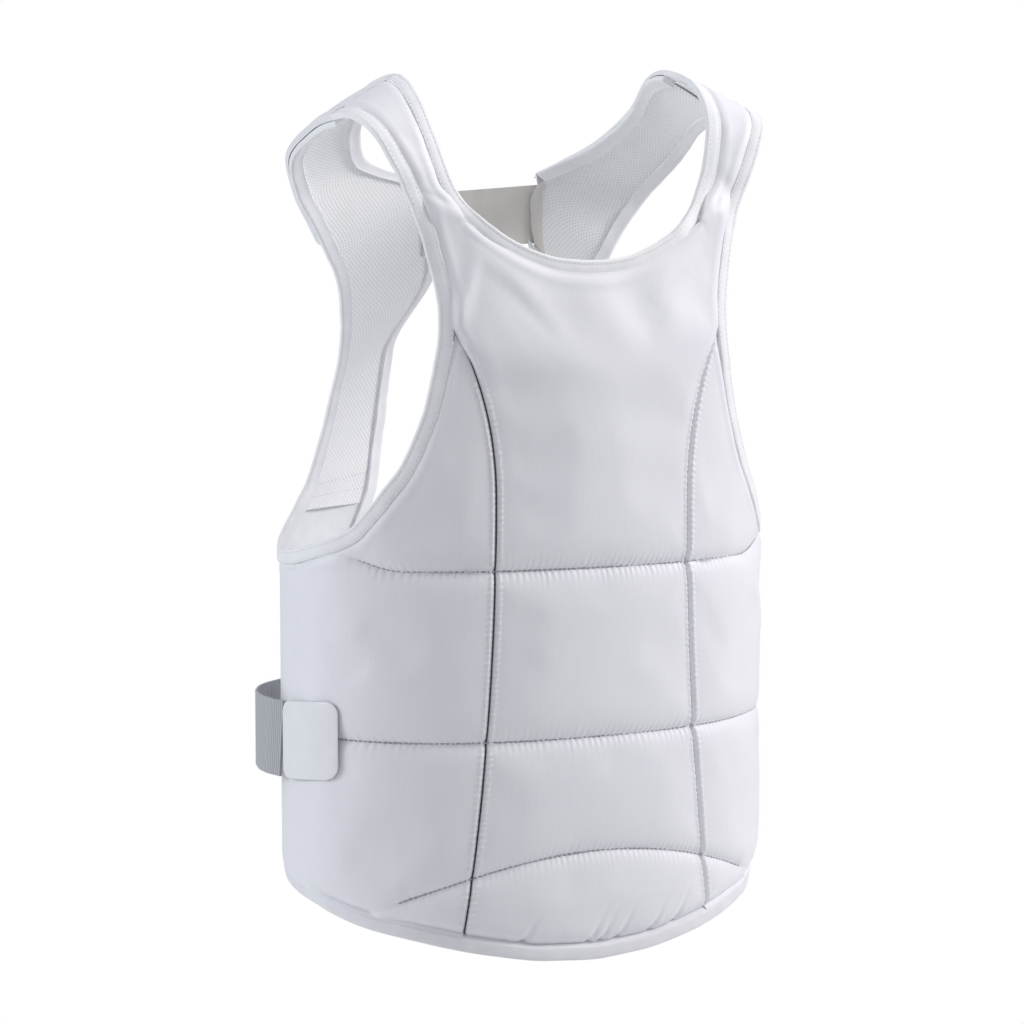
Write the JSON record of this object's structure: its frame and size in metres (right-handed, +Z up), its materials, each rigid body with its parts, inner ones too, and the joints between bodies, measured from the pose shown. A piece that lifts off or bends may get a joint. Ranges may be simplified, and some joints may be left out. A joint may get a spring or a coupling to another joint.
{
  "type": "chest protector",
  "caption": "Padded white vest front with quilted foam cells, shoulder straps that fasten on racerback wings, and an elastic waist belt with a hook-and-loop tab.",
  "frame": {"origin": "centre of the wearer's chest space, on the mid-plane, about 26 mm above the upper quilting line", "axes": "+Z up along the wearer's spine, +X to the wearer's left, the front of the vest faces -Y"},
  "size_m": [0.3465, 0.2471, 0.5822],
  "materials": {
    "cover_white": "woven polyester, soft sheen",
    "binding_white": "ribbed binding tape",
    "mesh_white": "open air mesh",
    "foam_cream": "closed foam sheet",
    "elastic_beige": "woven elastic",
    "elastic_grey": "ribbed woven elastic",
    "hook_white": "hook tape",
    "loop_white": "brushed loop tape",
    "tab_white": "smooth coated tape"
  },
  "bodies": {
    "vest": {"front_cover": "cover_white", "side_cover_left": "cover_white", "side_cover_right": "cover_white", "chest_pad": "foam_cream", "abdomen_pad": "foam_cream", "waist_pad": "foam_cream", "belly_pad": "foam_cream", "side_pad_upper_left": "foam_cream", "side_pad_upper_right": "foam_cream", "side_pad_middle_left": "foam_cream", "side_pad_middle_right": "foam_cream", "side_pad_lower_left": "foam_cream", "side_pad_lower_right": "foam_cream", "side_pad_hem_left": "foam_cream", "side_pad_hem_right": "foam_cream", "front_lining": "mesh_white", "side_lining_left": "mesh_white", "side_lining_right": "mesh_white", "strap_pad_left": "foam_cream", "strap_pad_right": "foam_cream", "neck_binding": "binding_white", "armhole_binding_left": "binding_white", "armhole_binding_right": "binding_white", "hem_band": "binding_white", "wing_shell_left": "cover_white", "wing_shell_right": "cover_white", "wing_lining_left": "mesh_white", "wing_lining_right": "mesh_white", "wing_neck_binding_left": "binding_white", "wing_neck_binding_right": "binding_white", "back_edge_binding_left": "binding_white", "back_edge_binding_right": "binding_white", "back_panel_left": "cover_white", "back_panel_right": "cover_white", "spine_elastic": "elastic_beige", "spine_end_left": "elastic_beige", "spine_end_right": "elastic_beige", "shoulder_loop_left": "loop_white", "shoulder_loop_right": "loop_white", "belt_anchor_patch": "tab_white", "waist_loop_field": "loop_white"},
    "belt": {"waist_elastic": "elastic_grey"},
    "tab": {"waist_tab": "tab_white", "waist_hook": "hook_white"},
    "flap_left": {"shoulder_flap_left": "cover_white", "shoulder_hook_left": "hook_white"},
    "flap_right": {"shoulder_flap_right": "cover_white", "shoulder_hook_right": "hook_white"}
  },
  "joints": [
    {"name": "tab_peel", "type": "hinge", "parent": "belt", "child": "tab", "pos_m": [-0.1712, 0.0088, -0.1445], "axis": [0, 0, -1], "range_deg": [0, 85]},
    {"name": "belt_swing", "type": "hinge", "parent": "vest", "child": "belt", "pos_m": [0.169, 0.0294, -0.1445], "axis": [0, 0, -1], "range_deg": [0, 60]},
    {"name": "flap_left_peel", "type": "hinge", "parent": "vest", "child": "flap_left", "pos_m": [0.12652, -0.014, 0.28672], "axis": [0.8585, -0.0365, -0.5115], "range_deg": [0, 75]},
    {"name": "flap_right_peel", "type": "hinge", "parent": "vest", "child": "flap_right", "pos_m": [-0.12052, -0.014, 0.27872], "axis": [0.8585, 0.0365, 0.5115], "range_deg": [0, 75]}
  ],
  "couplings": [
    {"joint": "belt_swing", "follows": "tab_peel", "ratio": 0.7}
  ]
}
